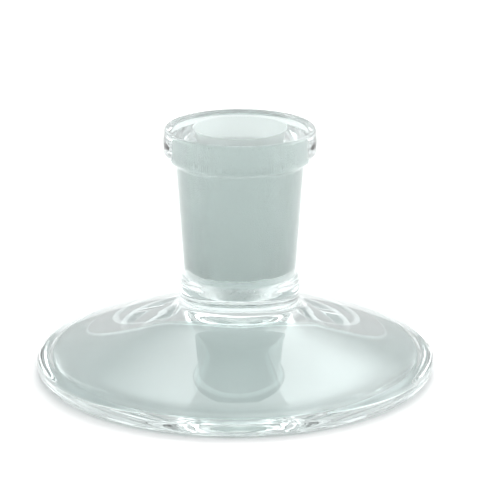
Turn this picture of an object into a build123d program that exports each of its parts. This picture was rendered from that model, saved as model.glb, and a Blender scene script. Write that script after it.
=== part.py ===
"""Glass stand: a standard 14/23 ground socket on a hollow bell foot.

The finished object is one piece of fused borosilicate glass. It is built here as
the six lengths of glass that meet in it: collar, ground socket and closed end make
the joint, and flare, dome and rim make the foot. Every length is a body of
revolution about Z, and neighbours meet face to face at their seams.

Millimetres, +Z up, origin on the table under the centre of the foot.
"""

import os
from math import radians, tan

from build123d import *

# --- Overall sizes ---
HEIGHT = 39.8
FOOT_RADIUS = 31.6

# --- Ground bore: standard 14/23 taper, one in ten on the diameter ---
MOUTH_RADIUS = 7.25
GROUND_LENGTH = 23.0
TAPER_PER_MM = 0.05
GROUND_END_RADIUS = MOUTH_RADIUS - GROUND_LENGTH * TAPER_PER_MM
GROUND_END_Z = HEIGHT - GROUND_LENGTH

# --- Tapered outside of the joint ---
TUBE_TOP_RADIUS = 10.4
TUBE_END_RADIUS = 8.8
TUBE_END_Z = 16.2

# --- Collar round the mouth ---
COLLAR_RADIUS = 12.0
COLLAR_TOP_ROUNDING = 0.5
COLLAR_SIDE_END_Z = HEIGHT - 3.4
COLLAR_SHOULDER_RADIUS = 11.2
COLLAR_SHOULDER_Z = HEIGHT - 4.95
COLLAR_END_Z = HEIGHT - 5.9

# --- Closed end of the joint, with the weld bead round it ---
BORE_END_Z = 13.0
BORE_ROUND_START_Z = 15.6
WELD_STEP_RADIUS = 9.22
WELD_STEP_Z = 15.65
WELD_RADIUS = 9.5
WELD_Z = 14.7
SEAM_Z = 12.4
SEAM_RADIUS = 9.45

# --- Flare of the foot, under the seam ---
CAVITY_TOP_Z = 9.8
CAVITY_NECK_RADIUS = 7.0
CAVITY_NECK_Z = 8.2
FLARE_RADIUS = 13.4
FLARE_TOP_Z = 9.0
FLARE_UNDER_Z = 5.2

# --- Dome of the foot ---
DOME_RADIUS = 27.8
DOME_EDGE_Z = 4.5
DOME_UNDER_EDGE_Z = 0.6
DOME_TOP_SLOPE = 13.5
DOME_EDGE_SLOPE = 22.0
DOME_UNDER_TOP_SLOPE = 20.0
DOME_UNDER_EDGE_SLOPE = 14.0

# --- Rim of the foot ---
RIM_SIDE_Z = 1.95
RIM_CROWN_RADIUS = 29.7
RIM_CROWN_Z = 3.62
RIM_FLAT_INNER_RADIUS = 28.9
RIM_FLAT_OUTER_RADIUS = 29.9


def outward(slope):
    """Direction that runs away from the axis and falls at a slope in degrees."""
    return (1, -tan(radians(slope)))


def inward(slope):
    """Direction that runs towards the axis and climbs at a slope in degrees."""
    return (-1, tan(radians(slope)))


def tube_radius(height):
    """Outside radius of the joint's tapered tube at a height."""
    share = (height - TUBE_END_Z) / (HEIGHT - TUBE_END_Z)
    return TUBE_END_RADIUS + (TUBE_TOP_RADIUS - TUBE_END_RADIUS) * share


os.makedirs("parts", exist_ok=True)

# --- Ground socket: tapered tube open at both ends ---
with BuildPart() as joint_socket:
    with BuildSketch(Plane.XZ):
        with BuildLine():
            Polyline(
                (GROUND_END_RADIUS, GROUND_END_Z),
                (MOUTH_RADIUS, HEIGHT),
                (TUBE_TOP_RADIUS, HEIGHT),
                (tube_radius(GROUND_END_Z), GROUND_END_Z),
                close=True,
            )
        make_face()
    revolve(axis=Axis.Z)

# --- Collar: clear band fused round the mouth end of the tube ---
with BuildPart() as joint_collar:
    with BuildSketch(Plane.XZ):
        with BuildLine():
            Line((tube_radius(COLLAR_END_Z), COLLAR_END_Z), (TUBE_TOP_RADIUS, HEIGHT))
            Line((TUBE_TOP_RADIUS, HEIGHT), (COLLAR_RADIUS - COLLAR_TOP_ROUNDING, HEIGHT))
            RadiusArc(
                (COLLAR_RADIUS - COLLAR_TOP_ROUNDING, HEIGHT),
                (COLLAR_RADIUS, HEIGHT - COLLAR_TOP_ROUNDING),
                COLLAR_TOP_ROUNDING,
            )
            Line(
                (COLLAR_RADIUS, HEIGHT - COLLAR_TOP_ROUNDING),
                (COLLAR_RADIUS, COLLAR_SIDE_END_Z),
            )
            TangentArc(
                (COLLAR_RADIUS, COLLAR_SIDE_END_Z),
                (COLLAR_SHOULDER_RADIUS, COLLAR_SHOULDER_Z),
                tangent=(0, -1),
            )
            Line(
                (COLLAR_SHOULDER_RADIUS, COLLAR_SHOULDER_Z),
                (tube_radius(COLLAR_END_Z), COLLAR_END_Z),
            )
        make_face()
    revolve(axis=Axis.Z)

# --- Closed end: round-bottomed cup under the ground length ---
with BuildPart() as joint_end:
    with BuildSketch(Plane.XZ):
        with BuildLine():
            Line((0, SEAM_Z), (0, BORE_END_Z))
            EllipticalCenterArc(
                (0, BORE_ROUND_START_Z),
                GROUND_END_RADIUS,
                BORE_ROUND_START_Z - BORE_END_Z,
                start_angle=270,
                arc_size=90,
            )
            Line((GROUND_END_RADIUS, BORE_ROUND_START_Z), (GROUND_END_RADIUS, GROUND_END_Z))
            Line((GROUND_END_RADIUS, GROUND_END_Z), (tube_radius(GROUND_END_Z), GROUND_END_Z))
            Line((tube_radius(GROUND_END_Z), GROUND_END_Z), (TUBE_END_RADIUS, TUBE_END_Z))
            Spline(
                (TUBE_END_RADIUS, TUBE_END_Z),
                (WELD_STEP_RADIUS, WELD_STEP_Z),
                (WELD_RADIUS, WELD_Z),
                (SEAM_RADIUS, SEAM_Z),
                tangents=((0, -1), (0, -1)),
            )
            Line((SEAM_RADIUS, SEAM_Z), (0, SEAM_Z))
        make_face()
    revolve(axis=Axis.Z)

# --- Flare: the foot's hollow neck, opening out under the seam ---
with BuildPart() as foot_flare:
    with BuildSketch(Plane.XZ):
        with BuildLine():
            Line((0, CAVITY_TOP_Z), (0, SEAM_Z))
            Line((0, SEAM_Z), (SEAM_RADIUS, SEAM_Z))
            Spline(
                (SEAM_RADIUS, SEAM_Z),
                (FLARE_RADIUS, FLARE_TOP_Z),
                tangents=((0, -1), outward(DOME_TOP_SLOPE)),
            )
            Line((FLARE_RADIUS, FLARE_TOP_Z), (FLARE_RADIUS, FLARE_UNDER_Z))
            Spline(
                (FLARE_RADIUS, FLARE_UNDER_Z),
                (CAVITY_NECK_RADIUS, CAVITY_NECK_Z),
                (0, CAVITY_TOP_Z),
                tangents=(inward(DOME_UNDER_TOP_SLOPE), (-1, 0)),
            )
        make_face()
    revolve(axis=Axis.Z)

# --- Dome: shallow bell wall of nearly even thickness ---
with BuildPart() as foot_dome:
    with BuildSketch(Plane.XZ):
        with BuildLine():
            Line((FLARE_RADIUS, FLARE_UNDER_Z), (FLARE_RADIUS, FLARE_TOP_Z))
            Spline(
                (FLARE_RADIUS, FLARE_TOP_Z),
                (DOME_RADIUS, DOME_EDGE_Z),
                tangents=(outward(DOME_TOP_SLOPE), outward(DOME_EDGE_SLOPE)),
            )
            Line((DOME_RADIUS, DOME_EDGE_Z), (DOME_RADIUS, DOME_UNDER_EDGE_Z))
            Spline(
                (DOME_RADIUS, DOME_UNDER_EDGE_Z),
                (FLARE_RADIUS, FLARE_UNDER_Z),
                tangents=(inward(DOME_UNDER_EDGE_SLOPE), inward(DOME_UNDER_TOP_SLOPE)),
            )
        make_face()
    revolve(axis=Axis.Z)

# --- Rim: thick rounded bead with a narrow ground flat to stand on ---
with BuildPart() as foot_rim:
    with BuildSketch(Plane.XZ):
        with BuildLine():
            Line((DOME_RADIUS, DOME_UNDER_EDGE_Z), (DOME_RADIUS, DOME_EDGE_Z))
            Spline(
                (DOME_RADIUS, DOME_EDGE_Z),
                (RIM_CROWN_RADIUS, RIM_CROWN_Z),
                (FOOT_RADIUS, RIM_SIDE_Z),
                tangents=(outward(DOME_EDGE_SLOPE), (0, -1)),
            )
            Spline(
                (FOOT_RADIUS, RIM_SIDE_Z),
                (RIM_FLAT_OUTER_RADIUS, 0),
                tangents=((0, -1), (-1, 0)),
            )
            Line((RIM_FLAT_OUTER_RADIUS, 0), (RIM_FLAT_INNER_RADIUS, 0))
            Spline(
                (RIM_FLAT_INNER_RADIUS, 0),
                (DOME_RADIUS, DOME_UNDER_EDGE_Z),
                tangents=((-1, 0), inward(DOME_UNDER_EDGE_SLOPE)),
            )
        make_face()
    revolve(axis=Axis.Z)

joint_collar.part.label = "joint_collar"
joint_socket.part.label = "joint_socket"
joint_end.part.label = "joint_end"
foot_flare.part.label = "foot_flare"
foot_dome.part.label = "foot_dome"
foot_rim.part.label = "foot_rim"

export_step(joint_collar.part, "parts/joint_collar.step")
export_step(joint_socket.part, "parts/joint_socket.step")
export_step(joint_end.part, "parts/joint_end.step")
export_step(foot_flare.part, "parts/foot_flare.step")
export_step(foot_dome.part, "parts/foot_dome.step")
export_step(foot_rim.part, "parts/foot_rim.step")
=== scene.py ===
"""Looks of the glass stand: a 14/23 ground socket on a hollow bell foot.

The object is one fused body of borosilicate glass. Its closed outline is spun once
about Z, and the skin is then parted into the six lengths that the maker joins. The
parted skins meet edge to edge and have no walls at the seams, so light runs from
one length into the next as it does in fused glass.

The scene is in metres, +Z up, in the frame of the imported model. The sizes of the
glass are given in millimetres, as each class says.
"""

import logging
import math
from collections.abc import Iterable
from dataclasses import dataclass, field
from enum import Enum
from itertools import pairwise

import bmesh
import bpy
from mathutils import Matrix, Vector, noise
from mathutils.geometry import interpolate_bezier

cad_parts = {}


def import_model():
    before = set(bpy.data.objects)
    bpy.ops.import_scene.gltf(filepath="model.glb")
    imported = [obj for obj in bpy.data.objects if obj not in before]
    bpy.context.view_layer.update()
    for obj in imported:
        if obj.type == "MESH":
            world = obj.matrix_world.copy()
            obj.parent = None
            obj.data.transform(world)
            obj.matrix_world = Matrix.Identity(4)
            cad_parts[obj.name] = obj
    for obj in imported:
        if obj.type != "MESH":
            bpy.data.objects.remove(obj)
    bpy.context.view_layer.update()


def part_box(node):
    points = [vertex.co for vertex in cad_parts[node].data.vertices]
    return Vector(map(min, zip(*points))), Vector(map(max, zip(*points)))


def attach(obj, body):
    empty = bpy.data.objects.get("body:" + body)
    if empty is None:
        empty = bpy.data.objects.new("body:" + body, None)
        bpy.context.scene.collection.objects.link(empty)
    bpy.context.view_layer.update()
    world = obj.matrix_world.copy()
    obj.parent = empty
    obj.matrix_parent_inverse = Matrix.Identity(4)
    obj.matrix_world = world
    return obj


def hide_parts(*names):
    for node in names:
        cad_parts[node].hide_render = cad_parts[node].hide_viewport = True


LOG = logging.getLogger("glass_stand")
MM = 0.001
BODY = "root"


class Length(Enum):
    """The six lengths of glass, each named as the CAD node that it stands for."""

    COLLAR = "joint_collar"
    SOCKET = "joint_socket"
    END = "joint_end"
    FLARE = "foot_flare"
    DOME = "foot_dome"
    RIM = "foot_rim"


class Surface(Enum):
    """How a stretch of the skin was finished."""

    FIRE_POLISHED = 0
    GROUND = 1


def at(radius: float, height: float) -> Vector:
    """Return a point of the outline from a radius and a height in millimetres."""
    return Vector((radius * MM, 0.0, height * MM))


def heading(degrees: float) -> Vector:
    """Return the outline's direction at an angle above the outward horizontal."""
    angle = math.radians(degrees)
    return Vector((math.cos(angle), 0.0, math.sin(angle)))


def sweep(start: Vector, leaving: float, end: Vector, arriving: float, count: int,
          pull: float = 0.36) -> list[Vector]:
    """Join two points of the outline with one smooth curve.

    Args:
        start: First point.
        leaving: Direction at the first point, in degrees.
        end: Last point.
        arriving: Direction at the last point, in degrees.
        count: Number of short edges in the curve.
        pull: Handle length as a share of the distance between the points.

    Returns:
        The curve's points, both ends included.
    """
    reach = (end - start).length * pull
    first = start + heading(leaving) * reach
    second = end - heading(arriving) * reach
    return interpolate_bezier(start, first, second, end, count + 1)


def line(start: Vector, end: Vector, count: int) -> list[Vector]:
    """Return evenly spaced points from start to end, both included."""
    return [start.lerp(end, step / count) for step in range(count + 1)]


def smoothstep(value: float) -> float:
    """Return an eased 0 to 1 for a value that is clamped to 0 to 1."""
    share = min(max(value, 0.0), 1.0)
    return share * share * (3.0 - 2.0 * share)


@dataclass(frozen=True)
class Stretch:
    """A stretch of the closed outline, walked with the glass on its left."""

    owner: Length
    surface: Surface
    points: list[Vector]


# --- The joint ---


@dataclass
class GroundJoint:
    """Collar, ground socket and closed end.

    Sizes are in millimetres and headings in degrees above the outward horizontal. An
    inset is measured inwards, a rise upwards and a drop downwards: at the weld from
    its radius and the seam, at the collar from its radius, lower end and top.
    """

    height: float
    collar_radius: float
    collar_end: float
    ground_end: float
    seam: float
    mouth_radius: float = 7.25
    taper: float = 0.05
    tube_top_radius: float = 10.4
    tube_end_radius: float = 8.8
    tube_end: float = 16.2
    weld_radius: float = 9.5
    seam_radius: float = 9.45
    weld_rise: float = 2.3
    shoulder_inset: float = 0.28
    shoulder_rise: float = 3.25
    shoulder_heading: float = 114.0
    neck_rise: float = 3.9
    neck_flare: float = 0.03
    neck_heading: float = 100.0
    tube_heading: float = 86.0
    collar_foot_heading: float = 80.0
    collar_shoulder_inset: float = 0.85
    collar_shoulder_rise: float = 0.95
    collar_shoulder_heading: float = 38.0
    collar_side_inset: float = 0.04
    collar_side_drop: float = 3.3
    collar_side_heading: float = 88.0
    collar_belly_drop: float = 2.0
    collar_edge_inset: float = 0.12
    collar_edge_drop: float = 0.62
    collar_edge_heading: float = 95.0
    collar_crown_inset: float = 0.72
    round_pull: float = 0.5
    bore_floor: float = 13.0
    bore_round_start: float = 15.6
    bore_bulge: float = 0.05
    edge_bevel: float = 0.15

    def tube_radius(self, height: float) -> float:
        """Return the outside radius of the tapered tube at a height."""
        share = (height - self.tube_end) / (self.height - self.tube_end)
        return self.tube_end_radius + (self.tube_top_radius - self.tube_end_radius) * share

    def bore_radius(self, height: float) -> float:
        """Return the radius of the ground bore at a height."""
        return self.mouth_radius - (self.height - height) * self.taper

    def weld_bead(self) -> list[Vector]:
        """Return the outside from the seam up over the weld bead to the tube."""
        seam = at(self.seam_radius, self.seam)
        bead = at(self.weld_radius, self.seam + self.weld_rise)
        shoulder = at(self.weld_radius - self.shoulder_inset, self.seam + self.shoulder_rise)
        neck = at(self.tube_end_radius + self.neck_flare, self.seam + self.neck_rise)
        tube = at(self.tube_radius(self.ground_end), self.ground_end)
        return (
            sweep(seam, 90.0, bead, 91.0, 10)
            + sweep(bead, 91.0, shoulder, self.shoulder_heading, 8)[1:]
            + sweep(shoulder, self.shoulder_heading, neck, self.neck_heading, 8)[1:]
            + sweep(neck, self.neck_heading, tube, self.tube_heading, 4)[1:]
        )

    def tube_wall(self) -> list[Vector]:
        """Return the polished outside of the tube, up to the collar."""
        bottom = at(self.tube_radius(self.ground_end), self.ground_end)
        top = at(self.tube_radius(self.collar_end), self.collar_end)
        return line(bottom, top, 12)

    def collar_band(self) -> list[Vector]:
        """Return the collar from its fillet to the flat of its top face."""
        radius, top = self.collar_radius, self.height
        foot = at(self.tube_radius(self.collar_end), self.collar_end)
        shoulder = at(radius - self.collar_shoulder_inset,
                      self.collar_end + self.collar_shoulder_rise)
        side_low = at(radius - self.collar_side_inset, top - self.collar_side_drop)
        belly = at(radius, top - self.collar_belly_drop)
        side_high = at(radius - self.collar_edge_inset, top - self.collar_edge_drop)
        crown = at(radius - self.collar_crown_inset, top)
        low, side, edge = (
            self.collar_shoulder_heading, self.collar_side_heading, self.collar_edge_heading,
        )
        return (
            sweep(foot, self.collar_foot_heading, shoulder, low, 10)
            + sweep(shoulder, low, side_low, side, 14)[1:]
            + sweep(side_low, side, belly, 90.0, 4)[1:]
            + sweep(belly, 90.0, side_high, edge, 4)[1:]
            + sweep(side_high, edge, crown, 180.0, 10, pull=self.round_pull)[1:]
            + line(crown, at(self.tube_top_radius, top), 2)[1:]
        )

    def top_face(self) -> list[Vector]:
        """Return the rest of the flat top face, as far as the mouth."""
        start = at(self.tube_top_radius, self.height)
        return line(start, at(self.mouth_radius + self.edge_bevel, self.height), 4)

    def ground_bore(self) -> list[Vector]:
        """Return the bevelled mouth edge and the tapered ground wall."""
        edge = at(self.mouth_radius + self.edge_bevel, self.height)
        lip = at(self.bore_radius(self.height - self.edge_bevel), self.height - self.edge_bevel)
        end = at(self.bore_radius(self.ground_end), self.ground_end)
        return [edge] + line(lip, end, 24)

    def round_end(self) -> list[Vector]:
        """Return the short unground wall and the rounded floor of the bore."""
        radius = self.bore_radius(self.ground_end)
        start = at(radius, self.ground_end)
        turn = at(radius + self.bore_bulge, self.bore_round_start)
        floor = at(0.0, self.bore_floor)
        return (
            line(start, turn, 3)
            + sweep(turn, 270.0, floor, 180.0, 20, pull=self.round_pull)[1:]
        )


# --- The foot ---


@dataclass
class BellFoot:
    """Flare, dome and rim of the hollow foot.

    Sizes are in millimetres, and slopes in degrees below the outward horizontal.
    """

    foot_radius: float
    dome_radius: float
    flare_radius: float
    seam: float
    seam_radius: float
    rim_side: float = 1.95
    crown_radius: float = 29.7
    crown: float = 3.62
    crown_slope: float = 28.0
    cavity_top: float = 9.8
    cavity_neck_radius: float = 7.0
    cavity_neck: float = 8.2
    flare_top: float = 9.0
    flare_under: float = 5.2
    dome_edge: float = 4.50
    top_slope: float = 13.5
    edge_slope: float = 22.0
    under_top_slope: float = 20.0
    under_edge_slope: float = 14.0
    dome_under_edge: float = 0.6
    under_edge_reach: float = 27.8
    flat_inner_radius: float = 28.9
    flat_outer_radius: float = 29.9
    neck_slope: float = 38.0
    rim_pull: float = 0.39
    flare_pull: float = 0.45

    def cavity_roof(self) -> list[Vector]:
        """Return the underside of the hollow neck, from the axis outwards."""
        roof = at(0.0, self.cavity_top)
        neck = at(self.cavity_neck_radius, self.cavity_neck)
        under = at(self.flare_radius, self.flare_under)
        return (
            sweep(roof, 0.0, neck, -self.neck_slope, 16)
            + sweep(neck, -self.neck_slope, under, -self.under_top_slope, 14)[1:]
        )

    def dome_under(self) -> list[Vector]:
        """Return the underside of the bell wall, outwards to the rim."""
        start = at(self.flare_radius, self.flare_under)
        end = at(self.under_edge_reach, self.dome_under_edge)
        return sweep(start, -self.under_top_slope, end, -self.under_edge_slope, 30)

    def rim_underside(self) -> list[Vector]:
        """Return the inner rounding of the rim, down to the flat."""
        start = at(self.under_edge_reach, self.dome_under_edge)
        end = at(self.flat_inner_radius, 0.0)
        return sweep(start, -self.under_edge_slope, end, 0.0, 8)

    def rim_flat(self) -> list[Vector]:
        """Return the narrow flat that stands on the table."""
        return line(at(self.flat_inner_radius, 0.0), at(self.flat_outer_radius, 0.0), 2)

    def rim_bead(self) -> list[Vector]:
        """Return the rounded rim, from the flat over its crown to the dome."""
        bottom = at(self.flat_outer_radius, 0.0)
        side = at(self.foot_radius, self.rim_side)
        crown = at(self.crown_radius, self.crown)
        dome = at(self.dome_radius, self.dome_edge)
        inward_rise = 180.0 - self.crown_slope
        return (
            sweep(bottom, 0.0, side, 90.0, 14, pull=self.rim_pull)
            + sweep(side, 90.0, crown, inward_rise, 14, pull=self.rim_pull)[1:]
            + sweep(crown, inward_rise, dome, 180.0 - self.edge_slope, 8)[1:]
        )

    def dome_top(self) -> list[Vector]:
        """Return the outside of the bell wall, inwards to the flare."""
        start = at(self.dome_radius, self.dome_edge)
        end = at(self.flare_radius, self.flare_top)
        return sweep(start, 180.0 - self.edge_slope, end, 180.0 - self.top_slope, 30)

    def flare_top_side(self) -> list[Vector]:
        """Return the outside of the flare, up to the fusion seam."""
        start = at(self.flare_radius, self.flare_top)
        end = at(self.seam_radius, self.seam)
        return sweep(start, 180.0 - self.top_slope, end, 90.0, 20, pull=self.flare_pull)


# --- Finishes ---


def linear(code: str) -> tuple[float, float, float, float]:
    """Return a linear colour with alpha 1 from an sRGB hex code."""
    channels = (int(code[start:start + 2], 16) / 255.0 for start in (1, 3, 5))
    red, green, blue = (
        value / 12.92 if value <= 0.04045 else ((value + 0.055) / 1.055) ** 2.4
        for value in channels
    )
    return (red, green, blue, 1.0)


def add_node(tree: bpy.types.NodeTree, kind: str, links: dict[str, bpy.types.NodeSocket],
             **settings: object) -> bpy.types.Node:
    """Add a node with its settings and incoming links.

    Args:
        tree: Node tree that gets the node.
        kind: Type name of the node.
        links: Output socket for each input, by the input's name or index.
        settings: Values by input or attribute name, with spaces as underscores.

    Returns:
        The new node.
    """
    node = tree.nodes.new(kind)
    for name, value in settings.items():
        if hasattr(node, name):
            setattr(node, name, value)
        else:
            node.inputs[name.replace("_", " ")].default_value = value
    for name, source in links.items():
        tree.links.new(source, node.inputs[name])
    return node


def new_material(name: str) -> tuple[bpy.types.Material, bpy.types.Node]:
    """Return an empty node material and its Principled shader, already linked."""
    material = bpy.data.materials.new(name)
    material.use_nodes = True
    tree = material.node_tree
    tree.nodes.clear()
    shader = tree.nodes.new("ShaderNodeBsdfPrincipled")
    output = tree.nodes.new("ShaderNodeOutputMaterial")
    tree.links.new(shader.outputs["BSDF"], output.inputs["Surface"])
    return material, shader


def grain_scale(size_mm: float) -> float:
    """Return the noise scale that gives features of a size in millimetres."""
    return 1.0 / (size_mm * MM)


@dataclass(frozen=True)
class FirePolishedGlass:
    """Clear borosilicate, worked and fire-polished in the flame.

    It gives the eye a glossy skin with long shallow waves, which bend what is seen
    through it, and a very slight grey-green body colour.
    """

    name: str = "fire_polished_borosilicate"
    tint: str = "#e6eeed"
    tint_deep: str = "#e2ebea"
    ior: float = 1.474
    wave_mm: float = 11.0
    wave_depth_mm: float = 0.01
    band_mm: float = 26.0

    def build(self) -> bpy.types.Material:
        """Return the material."""
        material, shader = new_material(self.name)
        tree = material.node_tree
        place = add_node(tree, "ShaderNodeTexCoord", {}).outputs["Object"]
        body = add_node(tree, "ShaderNodeTexNoise", {"Vector": place},
                        Scale=grain_scale(self.band_mm), Detail=2.0)
        colour = add_node(tree, "ShaderNodeMix", {"Factor": body.outputs["Fac"]},
                          data_type="RGBA")
        colour.inputs["A"].default_value = linear(self.tint)
        colour.inputs["B"].default_value = linear(self.tint_deep)
        wave = add_node(tree, "ShaderNodeTexNoise", {"Vector": place},
                        Scale=grain_scale(self.wave_mm), Detail=1.0, Roughness=0.4)
        bump = add_node(tree, "ShaderNodeBump", {"Height": wave.outputs["Fac"]},
                        Strength=1.0, Distance=self.wave_depth_mm * MM)
        shader.inputs["Transmission Weight"].default_value = 1.0
        shader.inputs["IOR"].default_value = self.ior
        shader.inputs["Roughness"].default_value = 0.0
        tree.links.new(colour.outputs["Result"], shader.inputs["Base Color"])
        tree.links.new(bump.outputs["Normal"], shader.inputs["Normal"])
        return material


@dataclass(frozen=True)
class GroundGlass:
    """Borosilicate lapped with fine grit on a tapered mandrel.

    The bore looks frosted and even, with a ragged lower edge where the mandrel ran
    out. The grit relief is deeper than real grinding leaves, so that light scatters
    evenly up to the edge of the bore. Below the ragged edge the roughness stops but
    the relief and the milky share go on, so the round bottom looks hazy, not clear.
    """

    name: str = "ground_borosilicate"
    tint: str = "#dee6e4"
    ior: float = 1.474
    rough: float = 0.95
    grit_mm: float = 0.15
    grit_depth_mm: float = 0.15
    ragged_mm: float = 0.7
    ragged_size_mm: float = 3.4
    end_height_mm: float = 16.8
    clear_share: float = 0.72
    polish_below: float = 0.02
    edge_low_mm: float = -0.1
    edge_high_mm: float = 0.15

    def build(self) -> bpy.types.Material:
        """Return the material."""
        material, shader = new_material(self.name)
        tree = material.node_tree
        place = add_node(tree, "ShaderNodeTexCoord", {}).outputs["Object"]
        height = add_node(tree, "ShaderNodeSeparateXYZ", {"Vector": place}).outputs["Z"]
        patch = add_node(tree, "ShaderNodeTexNoise", {"Vector": place},
                         Scale=grain_scale(self.ragged_size_mm), Detail=3.0)
        drift = add_node(tree, "ShaderNodeMath", {0: patch.outputs["Fac"]},
                         operation="MULTIPLY_ADD")
        drift.inputs[1].default_value = 2.0 * self.ragged_mm * MM
        drift.inputs[2].default_value = (self.end_height_mm - self.ragged_mm) * MM
        above = add_node(tree, "ShaderNodeMath", {0: height, 1: drift.outputs["Value"]},
                         operation="SUBTRACT")
        frosted = add_node(tree, "ShaderNodeMapRange", {"Value": above.outputs["Value"]},
                           From_Min=self.edge_low_mm * MM,
                           From_Max=self.edge_high_mm * MM,
                           To_Min=self.polish_below, To_Max=self.rough)
        grit = add_node(tree, "ShaderNodeTexNoise", {"Vector": place},
                        Scale=grain_scale(self.grit_mm), Detail=2.0)
        bump = add_node(tree, "ShaderNodeBump", {"Height": grit.outputs["Fac"]},
                        Strength=0.6, Distance=self.grit_depth_mm * MM)
        shader.inputs["Base Color"].default_value = linear(self.tint)
        shader.inputs["Transmission Weight"].default_value = self.clear_share
        shader.inputs["IOR"].default_value = self.ior
        tree.links.new(frosted.outputs["Result"], shader.inputs["Roughness"])
        tree.links.new(bump.outputs["Normal"], shader.inputs["Normal"])
        return material


@dataclass(frozen=True)
class PaperSweep:
    """Matt white background paper under the object."""

    name: str = "matt_paper"
    colour: str = "#f4f5f5"
    fibre_mm: float = 1.6

    def build(self) -> bpy.types.Material:
        """Return the material."""
        material, shader = new_material(self.name)
        tree = material.node_tree
        place = add_node(tree, "ShaderNodeTexCoord", {}).outputs["Object"]
        fibre = add_node(tree, "ShaderNodeTexNoise", {"Vector": place},
                         Scale=grain_scale(self.fibre_mm), Detail=3.0)
        bump = add_node(tree, "ShaderNodeBump", {"Height": fibre.outputs["Fac"]},
                        Strength=0.1, Distance=0.01 * MM)
        shader.inputs["Base Color"].default_value = linear(self.colour)
        shader.inputs["Roughness"].default_value = 0.9
        shader.inputs["Specular IOR Level"].default_value = 0.1
        tree.links.new(bump.outputs["Normal"], shader.inputs["Normal"])
        return material


# --- The fused body ---


@dataclass(frozen=True)
class HandWork:
    """Small errors of a foot spun and joined by hand. Sizes are in millimetres."""

    lean: float = 0.8
    lean_top: float = 13.0
    wave: float = 0.02
    wave_size: float = 17.0
    clear_of_table: float = 1.0
    ripple_start: float = 9.0
    ripple_fade: float = 8.0

    def shift(self, place: Vector) -> Vector:
        """Return how far a point of the true round form is moved.

        Args:
            place: A point of the skin, in metres.

        Returns:
            The move. The whole foot sits off the axis of the joint, by less and less
            from the table up to lean_top. A ripple lifts or lowers the foot, and it
            alone fades to nothing at the table and under the joint.
        """
        off_centre = smoothstep(1.0 - place.z / (self.lean_top * MM)) * self.lean * MM
        radius = math.hypot(place.x, place.y)
        foot = smoothstep((radius / MM - self.ripple_start) / self.ripple_fade)
        lifted = smoothstep(place.z / (self.clear_of_table * MM))
        ripple = noise.noise(place / (self.wave_size * MM)) * self.wave * MM
        return Vector((-off_centre, 0.0, ripple * foot * lifted))


@dataclass
class FusedGlass:
    """The whole skin of the glass, spun once and parted into its lengths."""

    joint: GroundJoint
    foot: BellFoot
    hand: HandWork = field(default_factory=HandWork)
    steps: int = 288
    crease_degrees: float = 32.0
    merge_mm: float = 1e-3

    def outline(self) -> list[Stretch]:
        """Return the closed outline from the hollow's roof round to the bore's floor."""
        joint, foot = self.joint, self.foot
        clear, ground = Surface.FIRE_POLISHED, Surface.GROUND
        return [
            Stretch(Length.FLARE, clear, foot.cavity_roof()),
            Stretch(Length.DOME, clear, foot.dome_under()),
            Stretch(Length.RIM, clear, foot.rim_underside()),
            Stretch(Length.RIM, clear, foot.rim_flat()),
            Stretch(Length.RIM, clear, foot.rim_bead()),
            Stretch(Length.DOME, clear, foot.dome_top()),
            Stretch(Length.FLARE, clear, foot.flare_top_side()),
            Stretch(Length.END, clear, joint.weld_bead()),
            Stretch(Length.SOCKET, clear, joint.tube_wall()),
            Stretch(Length.COLLAR, clear, joint.collar_band()),
            Stretch(Length.SOCKET, clear, joint.top_face()),
            Stretch(Length.SOCKET, ground, joint.ground_bore()),
            Stretch(Length.END, ground, joint.round_end()),
        ]

    def spin(self) -> bmesh.types.BMesh:
        """Spin every stretch about Z and join them into one closed skin.

        Returns:
            The skin, whose faces hold the number of their length in the layer
            named length, and the number of their finish as their material.
        """
        skin = bmesh.new()
        skin.faces.layers.int.new("length")
        for stretch in self.outline():
            mesh = self.spin_stretch(stretch)
            skin.from_mesh(mesh)
            bpy.data.meshes.remove(mesh)
        bmesh.ops.remove_doubles(skin, verts=skin.verts, dist=self.merge_mm * MM)
        bmesh.ops.recalc_face_normals(skin, faces=skin.faces)
        for vert in skin.verts:
            vert.co += self.hand.shift(vert.co)
        return skin

    def spin_stretch(self, stretch: Stretch) -> bpy.types.Mesh:
        """Spin one stretch of the outline a full turn.

        Args:
            stretch: The stretch, in the half-plane of positive x.

        Returns:
            Its band of skin, with open ends.
        """
        band = bmesh.new()
        owner = band.faces.layers.int.new("length")
        verts = [band.verts.new(point) for point in stretch.points]
        edges = [band.edges.new(pair) for pair in pairwise(verts)]
        bmesh.ops.spin(band, geom=verts + edges, cent=(0, 0, 0), axis=(0, 0, 1),
                       angle=math.tau, steps=self.steps, use_merge=True)
        for face in band.faces:
            face.smooth = True
            face[owner] = list(Length).index(stretch.owner)
            face.material_index = stretch.surface.value
        mesh = bpy.data.meshes.new("band")
        band.to_mesh(mesh)
        band.free()
        return mesh

    def part(self, skin: bmesh.types.BMesh, length: Length, name: str) -> bpy.types.Object:
        """Copy one length of the skin into an object of its own.

        Args:
            skin: The closed skin.
            length: The length to keep.
            name: Name of the new object.

        Returns:
            The object, linked to the scene.
        """
        piece = skin.copy()
        owner = piece.faces.layers.int["length"]
        number = list(Length).index(length)
        others = [face for face in piece.faces if face[owner] != number]
        bmesh.ops.delete(piece, geom=others, context="FACES")
        mesh = bpy.data.meshes.new(name)
        piece.to_mesh(mesh)
        piece.free()
        mesh.set_sharp_from_angle(angle=math.radians(self.crease_degrees))
        obj = bpy.data.objects.new(name, mesh)
        bpy.context.scene.collection.objects.link(obj)
        return obj


PIECE_NAMES = {
    Length.COLLAR: "collar_band",
    Length.SOCKET: "ground_socket",
    Length.END: "closed_end",
    Length.FLARE: "hollow_flare",
    Length.DOME: "bell_dome",
    Length.RIM: "rolled_rim",
}


# --- Studio ---


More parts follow.
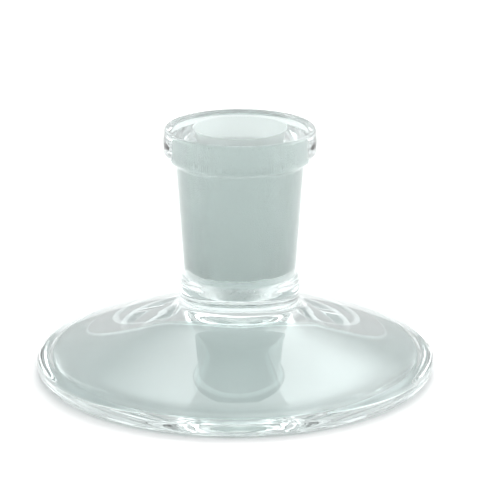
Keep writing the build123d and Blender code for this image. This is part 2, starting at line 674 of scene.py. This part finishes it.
@dataclass(frozen=True)
class Diffuser:
    """A soft-edged patch of light on the sky around the object. Angles in degrees."""

    azimuth: float
    elevation: float
    core: float
    edge: float
    radiance: float

    def direction(self) -> Vector:
        """Return the unit vector to the patch's middle, at azimuth 0 behind the object."""
        turn, lift = math.radians(self.azimuth), math.radians(self.elevation)
        flat = math.cos(lift)
        return Vector((math.sin(turn) * flat, math.cos(turn) * flat, math.sin(lift)))


@dataclass(frozen=True)
class Surround:
    """Soft studio light: pale walls with a few broad diffusers.

    The high one behind the object is mirrored in the top of the foot, where the joint
    stands dark against it. The low ones at the sides brighten the rim, more on the
    right, and a weaker high one in front helps to keep the floor white.
    """

    room: float = 0.74
    colour: str = "#ffffff"
    diffusers: tuple[Diffuser, ...] = (
        Diffuser(azimuth=10.0, elevation=52.0, core=4.0, edge=29.0, radiance=2.8),
        Diffuser(azimuth=80.0, elevation=12.0, core=6.0, edge=42.0, radiance=3.0),
        Diffuser(azimuth=-85.0, elevation=10.0, core=4.0, edge=40.0, radiance=1.8),
        Diffuser(azimuth=180.0, elevation=62.0, core=8.0, edge=30.0, radiance=1.4),
    )

    def build(self) -> bpy.types.World:
        """Return the world that gives the light."""
        world = bpy.data.worlds.new("soft_studio")
        world.use_nodes = True
        tree = world.node_tree
        background = tree.nodes["Background"]
        background.inputs["Color"].default_value = linear(self.colour)
        sky = add_node(tree, "ShaderNodeTexCoord", {}).outputs["Generated"]
        total = add_node(tree, "ShaderNodeValue", {}).outputs["Value"]
        total.default_value = self.room
        for patch in self.diffusers:
            facing = add_node(tree, "ShaderNodeVectorMath", {0: sky},
                              operation="DOT_PRODUCT")
            facing.inputs[1].default_value = patch.direction()
            glow = add_node(tree, "ShaderNodeMapRange", {"Value": facing.outputs["Value"]},
                            interpolation_type="SMOOTHSTEP",
                            From_Min=math.cos(math.radians(patch.edge)),
                            From_Max=math.cos(math.radians(patch.core)),
                            To_Min=0.0, To_Max=patch.radiance)
            total = add_node(tree, "ShaderNodeMath", {0: total, 1: glow.outputs["Result"]},
                             operation="ADD").outputs["Value"]
        tree.links.new(total, background.inputs["Strength"])
        return world


@dataclass
class Studio:
    """Paper floor, surrounding light and camera.

    Sizes are in metres unless the name ends in mm; focal_share is the focal length
    as a multiple of the sensor's width, and aim_side how far the aim lies off the axis.
    """

    surround: Surround = field(default_factory=Surround)
    floor_half: float = 3.0
    distance: float = 0.420
    elevation: float = 17.3
    sight_height: float = 0.020
    aim_height: float = 0.0214
    aim_side: float = 0.0
    focal_share: float = 5.54
    sensor_width_mm: float = 36.0
    paper_drop_mm: float = 0.05
    glass_bounces: int = 32

    def lay_floor(self) -> bpy.types.Object:
        """Lay the paper just under the object and return it."""
        sheet = bmesh.new()
        bmesh.ops.create_grid(sheet, x_segments=2, y_segments=2, size=self.floor_half)
        bmesh.ops.translate(sheet, verts=sheet.verts, vec=(0.0, 0.0, -self.paper_drop_mm * MM))
        mesh = bpy.data.meshes.new("paper_floor")
        sheet.to_mesh(mesh)
        sheet.free()
        mesh.materials.append(PaperSweep().build())
        floor = bpy.data.objects.new("paper_floor", mesh)
        bpy.context.scene.collection.objects.link(floor)
        return floor

    def set_camera(self) -> bpy.types.Object:
        """Place the camera, make it the scene's own and return it."""
        tilt = math.radians(self.elevation)
        sight = Vector((0.0, 0.0, self.sight_height))
        place = sight + Vector((0.0, -math.cos(tilt), math.sin(tilt))) * self.distance
        data = bpy.data.cameras.new("studio_camera")
        data.sensor_width = self.sensor_width_mm
        data.lens = data.sensor_width * self.focal_share
        data.clip_start = 0.01
        data.dof.use_dof = False
        camera = bpy.data.objects.new("studio_camera", data)
        camera.location = place
        aim = Vector((self.aim_side, 0.0, self.aim_height))
        camera.rotation_euler = (place - aim).to_track_quat("Z", "Y").to_euler()
        bpy.context.scene.collection.objects.link(camera)
        bpy.context.scene.camera = camera
        return camera

    def set_look(self) -> None:
        """Keep whites white and let light through every wall of the glass."""
        scene = bpy.context.scene
        scene.view_settings.view_transform = "Standard"
        scene.cycles.max_bounces = self.glass_bounces
        scene.cycles.transmission_bounces = self.glass_bounces
        scene.cycles.glossy_bounces = 16
        scene.cycles.diffuse_bounces = 4


# --- Assembly ---


def joint_from_frame() -> GroundJoint:
    """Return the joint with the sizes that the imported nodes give."""
    collar_low, collar_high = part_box(Length.COLLAR.value)
    socket_low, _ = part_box(Length.SOCKET.value)
    end_low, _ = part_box(Length.END.value)
    return GroundJoint(
        height=collar_high[2] / MM,
        collar_radius=collar_high[0] / MM,
        collar_end=collar_low[2] / MM,
        ground_end=socket_low[2] / MM,
        seam=end_low[2] / MM,
    )


def foot_from_frame(joint: GroundJoint) -> BellFoot:
    """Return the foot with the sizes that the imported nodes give."""
    _, rim_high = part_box(Length.RIM.value)
    _, dome_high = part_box(Length.DOME.value)
    _, flare_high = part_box(Length.FLARE.value)
    return BellFoot(
        foot_radius=rim_high[0] / MM,
        dome_radius=dome_high[0] / MM,
        flare_radius=flare_high[0] / MM,
        seam=joint.seam,
        seam_radius=joint.seam_radius,
    )


def main() -> None:
    """Build, dress and report every piece, then set up the studio."""
    logging.basicConfig(level=logging.INFO, format="%(message)s")
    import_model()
    joint = joint_from_frame()
    glass = FusedGlass(joint, foot_from_frame(joint))
    finishes = {
        Surface.FIRE_POLISHED: FirePolishedGlass().build(),
        Surface.GROUND: GroundGlass().build(),
    }
    skin = glass.spin()
    open_edges = sum(1 for edge in skin.edges if len(edge.link_faces) != 2)
    LOG.info("skin of the fused glass: %d faces, %d open edges", len(skin.faces), open_edges)
    for length in Length:
        piece = glass.part(skin, length, PIECE_NAMES[length])
        for surface in Surface:
            piece.data.materials.append(finishes[surface])
        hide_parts(length.value)
        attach(piece, BODY)
        LOG.info("%s: %d faces, for %s", piece.name, len(piece.data.polygons), length.value)
    skin.free()
    studio = Studio()
    studio.lay_floor()
    bpy.context.scene.world = studio.surround.build()
    studio.set_camera()
    studio.set_look()


if __name__ == "__main__":
    main()
